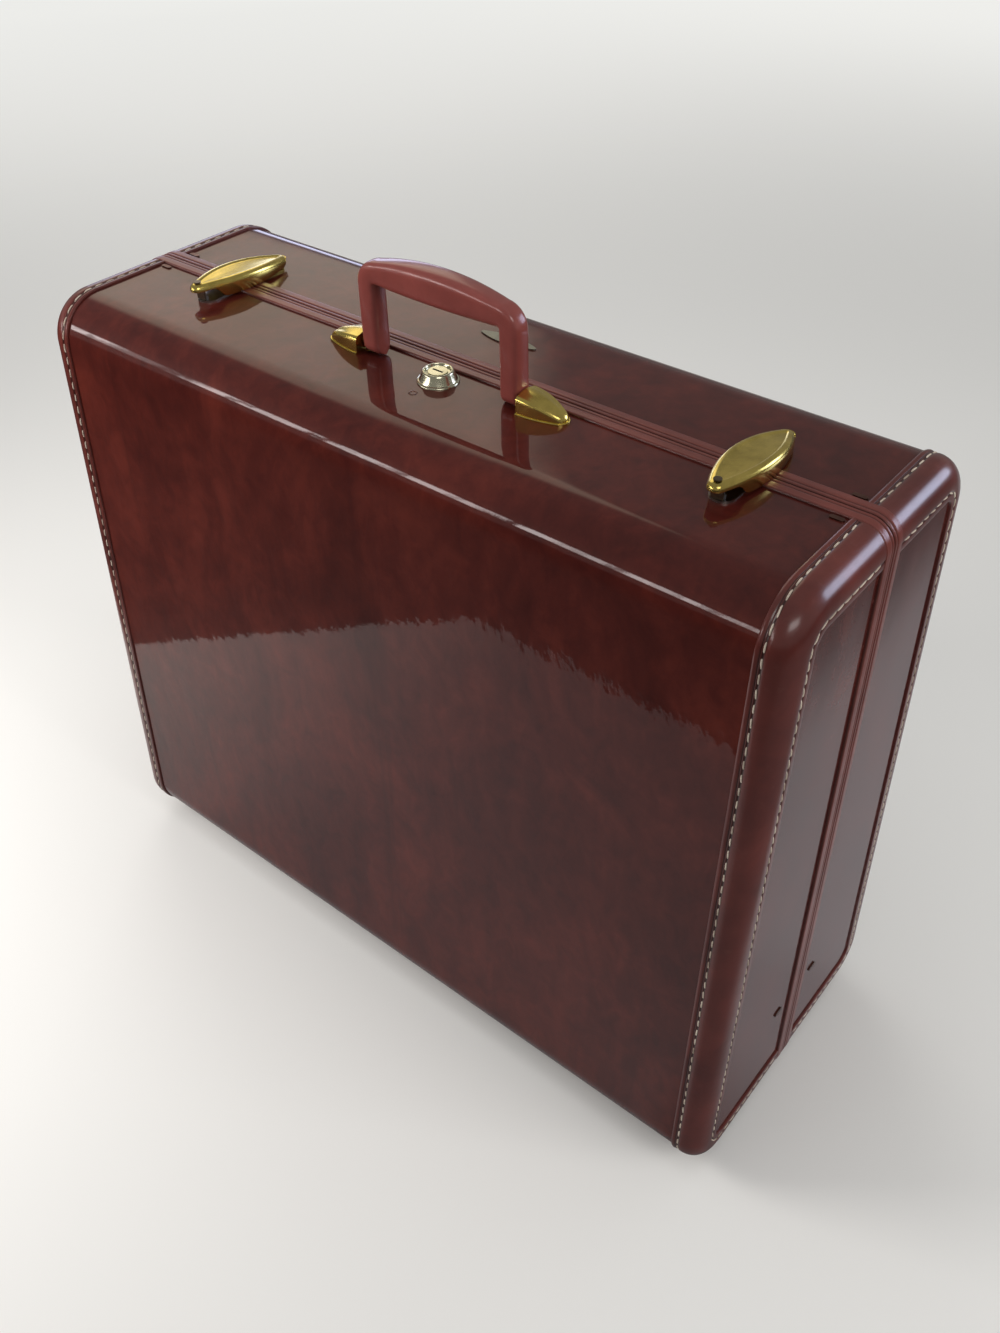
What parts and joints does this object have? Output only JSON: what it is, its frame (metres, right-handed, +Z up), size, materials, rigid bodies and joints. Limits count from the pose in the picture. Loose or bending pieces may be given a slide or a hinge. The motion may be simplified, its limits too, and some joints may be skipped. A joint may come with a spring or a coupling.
{
  "type": "vintage suitcase",
  "caption": "Hard-sided wedge-section travel case with a lacquered cover, stitched leather bindings, swinging handle, lever latches, key lock and a hinged lid held by folding stays.",
  "frame": {"origin": "middle of the footprint, on the surface that the feet stand on", "axes": "+X along the case's length, +Y from the base half to the lid half, +Z up to the handle"},
  "size_m": [0.5338, 0.2192, 0.5068],
  "materials": {
    "board": "matt bent board",
    "cover": "high-gloss lacquered oxblood cover with dark vertical mottling",
    "binding": "gloss red-brown leather",
    "lining": "woven tan lining",
    "handle": "satin burgundy leather",
    "nickel": "worn polished nickel",
    "brass": "polished brass",
    "tongue": "satin rolled strip",
    "steel": "plain plated steel"
  },
  "bodies": {
    "base": {"base_carcass": "board", "base_cover": "cover", "base_corner_left": "board", "base_corner_right": "board", "base_end_left": "cover", "base_end_right": "cover", "base_binding_left": "binding", "base_binding_right": "binding", "base_tongue": "tongue", "base_welt": "binding", "base_lining": "lining", "handle_mount_left": "brass", "handle_mount_right": "brass", "handle_pin_left": "steel", "handle_pin_right": "steel", "latch_catch_left": "steel", "latch_catch_right": "steel", "lock_case": "nickel", "lock_box": "steel", "hinge_leaf_base_left": "brass", "hinge_leaf_base_right": "brass", "hinge_pin_left": "steel", "hinge_pin_right": "steel", "base_feet": "steel", "base_staples": "steel", "base_stay_studs": "steel"},
    "handle": {"handle_grip": "handle"},
    "lid": {"lid_carcass": "board", "lid_cover": "cover", "lid_corner_left": "board", "lid_corner_right": "board", "lid_end_left": "cover", "lid_end_right": "cover", "lid_binding_left": "binding", "lid_binding_right": "binding", "lid_welt": "binding", "lid_lining": "lining", "latch_bracket_left": "brass", "latch_bracket_right": "brass", "lock_keeper": "steel", "name_plate": "nickel", "hinge_leaf_lid_left": "brass", "hinge_leaf_lid_right": "brass", "lid_feet": "steel", "lid_staples": "steel", "lid_stay_studs": "steel"},
    "lock": {"lock_plug": "nickel", "lock_cam": "steel"},
    "latch_left": {"latch_lever_left": "brass", "latch_hook_left": "steel", "latch_pin_left": "steel"},
    "stay_base_left": {"base_stay_left": "steel"},
    "stay_lid_left": {"lid_stay_left": "steel"},
    "latch_right": {"latch_lever_right": "brass", "latch_hook_right": "steel", "latch_pin_right": "steel"},
    "stay_base_right": {"base_stay_right": "steel"},
    "stay_lid_right": {"lid_stay_right": "steel"}
  },
  "joints": [
    {"name": "lid_hinge", "type": "hinge", "parent": "base", "child": "lid", "pos_m": [0, 0, 0.005], "axis": [-1, 0, 0], "range_deg": [0, 105]},
    {"name": "handle_swing", "type": "hinge", "parent": "base", "child": "handle", "pos_m": [0.004, -0.0175, 0.45125], "axis": [1, 0, 0], "range_deg": [-80, 80]},
    {"name": "lock_turn", "type": "hinge", "parent": "base", "child": "lock", "pos_m": [0.004, -0.022, 0.45], "axis": [0, 0, -1], "range_deg": [0, 90]},
    {"name": "latch_left_lift", "type": "hinge", "parent": "lid", "child": "latch_left", "pos_m": [-0.181, 0.032, 0.4486], "axis": [-1, 0, 0], "range_deg": [0, 60]},
    {"name": "stay_base_left_turn", "type": "hinge", "parent": "base", "child": "stay_base_left", "pos_m": [-0.257, -0.022, 0.087], "axis": [-1, 0, 0], "range_deg": [0, 105]},
    {"name": "stay_lid_left_turn", "type": "hinge", "parent": "lid", "child": "stay_lid_left", "pos_m": [-0.255, 0.022, 0.087], "axis": [-1, 0, 0], "range_deg": [-105, 0]},
    {"name": "latch_right_lift", "type": "hinge", "parent": "lid", "child": "latch_right", "pos_m": [0.189, 0.032, 0.4486], "axis": [-1, 0, 0], "range_deg": [0, 60]},
    {"name": "stay_base_right_turn", "type": "hinge", "parent": "base", "child": "stay_base_right", "pos_m": [0.257, -0.022, 0.087], "axis": [-1, 0, 0], "range_deg": [0, 105]},
    {"name": "stay_lid_right_turn", "type": "hinge", "parent": "lid", "child": "stay_lid_right", "pos_m": [0.255, 0.022, 0.087], "axis": [-1, 0, 0], "range_deg": [-105, 0]}
  ],
  "couplings": [
    {"joint": "stay_base_left_turn", "follows": "lid_hinge", "ratio": 1},
    {"joint": "stay_lid_left_turn", "follows": "lid_hinge", "ratio": -1},
    {"joint": "stay_base_right_turn", "follows": "lid_hinge", "ratio": 1},
    {"joint": "stay_lid_right_turn", "follows": "lid_hinge", "ratio": -1}
  ]
}
